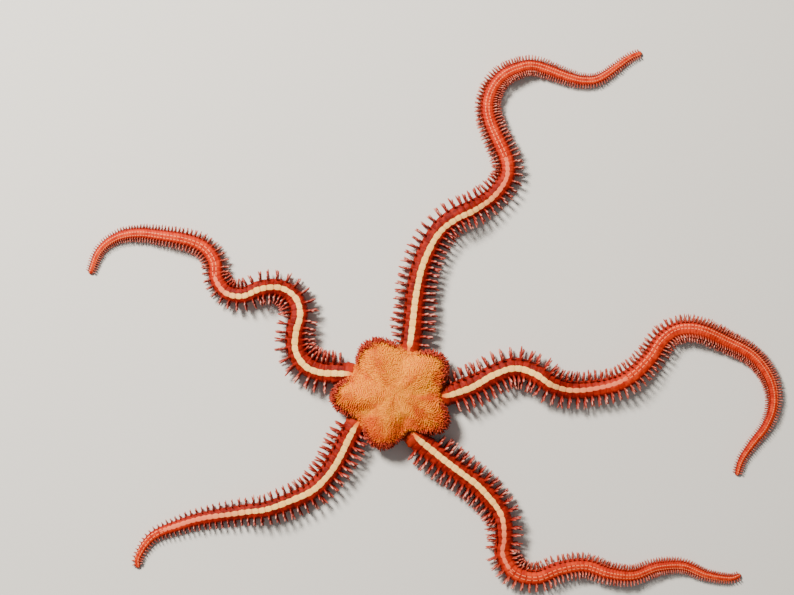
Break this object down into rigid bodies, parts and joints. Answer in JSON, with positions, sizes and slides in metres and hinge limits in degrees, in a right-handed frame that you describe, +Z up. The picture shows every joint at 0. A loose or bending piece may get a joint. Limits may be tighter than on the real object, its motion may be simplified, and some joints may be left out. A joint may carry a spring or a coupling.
{
  "type": "brittle star",
  "caption": "Life-size brittle star at rest: lobed, domed disc, jaws round the mouth below, and long winding arms edged with fans of blunt spines.",
  "frame": {"origin": "middle of the outline's box, on the ground that the star lies on", "axes": "+Z up out of the back of the disc, +Y towards the top of the picture, +X to its right, along the longest extent"},
  "size_m": [0.1256, 0.0976, 0.0062],
  "materials": {
    "arm_plates": "wet limy plates under thin skin, deep red with a pale yellow band on top",
    "disc_skin": "orange skin under a close pile of fine granules and short blunt spines",
    "jaw_plates": "smooth pinkish lime plates"
  },
  "bodies": {
    "root": {"arm_east_1": "arm_plates", "arm_east_2": "arm_plates", "arm_east_3": "arm_plates", "arm_east_4": "arm_plates", "arm_east_5": "arm_plates", "arm_east_6": "arm_plates", "arm_north_1": "arm_plates", "arm_north_2": "arm_plates", "arm_north_3": "arm_plates", "arm_north_4": "arm_plates", "arm_north_5": "arm_plates", "arm_southeast_1": "arm_plates", "arm_southeast_2": "arm_plates", "arm_southeast_3": "arm_plates", "arm_southeast_4": "arm_plates", "arm_southwest_1": "arm_plates", "arm_southwest_2": "arm_plates", "arm_southwest_3": "arm_plates", "arm_west_1": "arm_plates", "arm_west_2": "arm_plates", "arm_west_3": "arm_plates", "arm_west_4": "arm_plates", "arm_west_5": "arm_plates", "arm_west_6": "arm_plates", "disc": "disc_skin", "jaw_1": "jaw_plates", "jaw_2": "jaw_plates", "jaw_3": "jaw_plates", "jaw_4": "jaw_plates", "jaw_5": "jaw_plates"}
  },
  "joints": []
}
